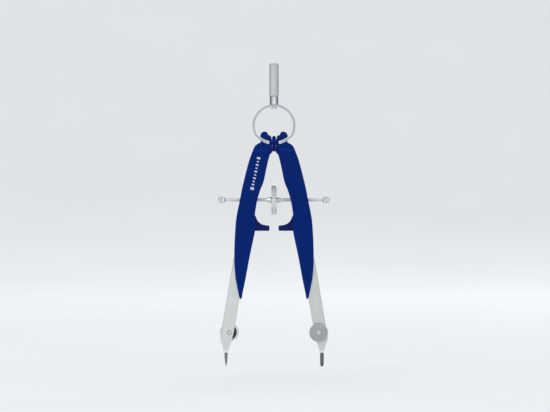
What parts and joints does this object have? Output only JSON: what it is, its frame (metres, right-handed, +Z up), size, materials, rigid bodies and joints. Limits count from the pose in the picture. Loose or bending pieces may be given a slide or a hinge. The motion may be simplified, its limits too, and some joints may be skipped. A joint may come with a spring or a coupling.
{
  "type": "drawing compass",
  "caption": "Spring-bow drawing compass with centre wheel, threaded rod, quick-release levers, knee joints and clamped needle and lead.",
  "frame": {"origin": "middle of the hand grip, where the fingers hold the compass", "axes": "+Z up along the handle, away from the points; X runs from the needle leg (-X) to the lead leg (+X); -Y is the front"},
  "size_m": [0.059, 0.0156, 0.1606],
  "materials": {
    "blue_lacquer": "satin dark blue lacquer",
    "blue_plastic": "smooth blue plastic",
    "satin_nickel": "satin nickel plate",
    "dull_nickel": "dull nickel plate, finely turned",
    "bright_chrome": "bright plating",
    "spring_steel": "polished spring steel",
    "steel": "turned steel",
    "brass": "turned brass",
    "graphite": "drawing lead"
  },
  "bodies": {
    "root": {"handle": "satin_nickel", "handle_screw": "bright_chrome", "ring_spring": "spring_steel", "fulcrum_pin": "steel", "fulcrum_plate_front": "blue_lacquer", "fulcrum_plate_back": "blue_lacquer"},
    "left_leg": {"left_leg": "blue_lacquer", "left_lever_pin": "steel", "left_lever_spring": "spring_steel", "left_knee_pin": "steel"},
    "right_leg": {"right_leg": "blue_lacquer", "right_lever_pin": "steel", "right_lever_spring": "spring_steel", "right_knee_pin": "steel"},
    "left_swivel": {"left_swivel": "brass"},
    "right_swivel": {"right_swivel": "brass"},
    "end_caps": {"left_end_cap": "bright_chrome", "right_end_cap": "bright_chrome"},
    "spindle": {"spindle": "steel", "centre_wheel": "bright_chrome"},
    "left_lever": {"left_release_lever": "blue_plastic", "left_half_nut": "brass"},
    "right_lever": {"right_release_lever": "blue_plastic", "right_half_nut": "brass"},
    "left_lower_leg": {"left_lower_leg": "satin_nickel"},
    "right_lower_leg": {"right_lower_leg": "satin_nickel"},
    "left_clamp_screw": {"left_clamp_screw": "dull_nickel"},
    "right_clamp_screw": {"right_clamp_screw": "dull_nickel"},
    "needle": {"needle": "steel"},
    "lead": {"lead": "graphite"}
  },
  "joints": [
    {"name": "legs_open", "type": "hinge", "parent": "root", "child": "left_leg", "pos_m": [0, 0, -0.0351], "axis": [0, 1, 0], "range_deg": [-11.5, 13], "deforming": ["ring_spring"]},
    {"name": "right_leg_open", "type": "hinge", "parent": "root", "child": "right_leg", "pos_m": [0, 0, -0.0351], "axis": [0, -1, 0], "range_deg": [-11.5, 13]},
    {"name": "left_swivel_turn", "type": "hinge", "parent": "left_leg", "child": "left_swivel", "pos_m": [-0.01325, 0, -0.0637], "axis": [0, 1, 0], "range_deg": [-13, 11.5]},
    {"name": "right_swivel_turn", "type": "hinge", "parent": "right_leg", "child": "right_swivel", "pos_m": [0.01325, 0, -0.0637], "axis": [0, -1, 0], "range_deg": [-13, 11.5]},
    {"name": "spindle_slide", "type": "slide", "parent": "left_swivel", "child": "end_caps", "axis": [1, 0, 0], "range_m": [-0.0058, 0.0066]},
    {"name": "wheel_turn", "type": "hinge", "parent": "end_caps", "child": "spindle", "pos_m": [0, 0, -0.0637], "axis": [1, 0, 0], "range_deg": [-2050, 2320]},
    {"name": "left_release", "type": "hinge", "parent": "left_leg", "child": "left_lever", "pos_m": [-0.0161, 0, -0.0681], "axis": [0, 1, 0], "range_deg": [0, 12], "stiffness_Nm_per_rad": 0.01, "springref_deg": -14.32},
    {"name": "right_release", "type": "hinge", "parent": "right_leg", "child": "right_lever", "pos_m": [0.0161, 0, -0.0681], "axis": [0, -1, 0], "range_deg": [0, 12], "stiffness_Nm_per_rad": 0.01, "springref_deg": -14.32},
    {"name": "left_knee", "type": "hinge", "parent": "left_leg", "child": "left_lower_leg", "pos_m": [-0.0182, 0, -0.0956], "axis": [0, -1, 0], "range_deg": [0, 35]},
    {"name": "right_knee", "type": "hinge", "parent": "right_leg", "child": "right_lower_leg", "pos_m": [0.0182, 0, -0.0956], "axis": [0, 1, 0], "range_deg": [0, 35]},
    {"name": "left_clamp_turn", "type": "hinge", "parent": "left_lower_leg", "child": "left_clamp_screw", "pos_m": [-0.0236, 0, -0.1339], "axis": [0, 1, 0], "range_deg": [0, 360]},
    {"name": "right_clamp_turn", "type": "hinge", "parent": "right_lower_leg", "child": "right_clamp_screw", "pos_m": [0.0236, 0, -0.1339], "axis": [0, -1, 0], "range_deg": [0, 360]},
    {"name": "needle_slide", "type": "slide", "parent": "left_lower_leg", "child": "needle", "axis": [0, 0, -1], "range_m": [0, 0.006]},
    {"name": "lead_slide", "type": "slide", "parent": "right_lower_leg", "child": "lead", "axis": [0, 0, -1], "range_m": [0, 0.006]}
  ],
  "couplings": [
    {"joint": "right_leg_open", "follows": "legs_open", "ratio": 1},
    {"joint": "left_swivel_turn", "follows": "legs_open", "ratio": -1},
    {"joint": "right_swivel_turn", "follows": "legs_open", "ratio": -1},
    {"joint": "spindle_slide", "follows": "legs_open", "m_per_rad": 0.0283},
    {"joint": "wheel_turn", "follows": "legs_open", "ratio": 177.8}
  ]
}
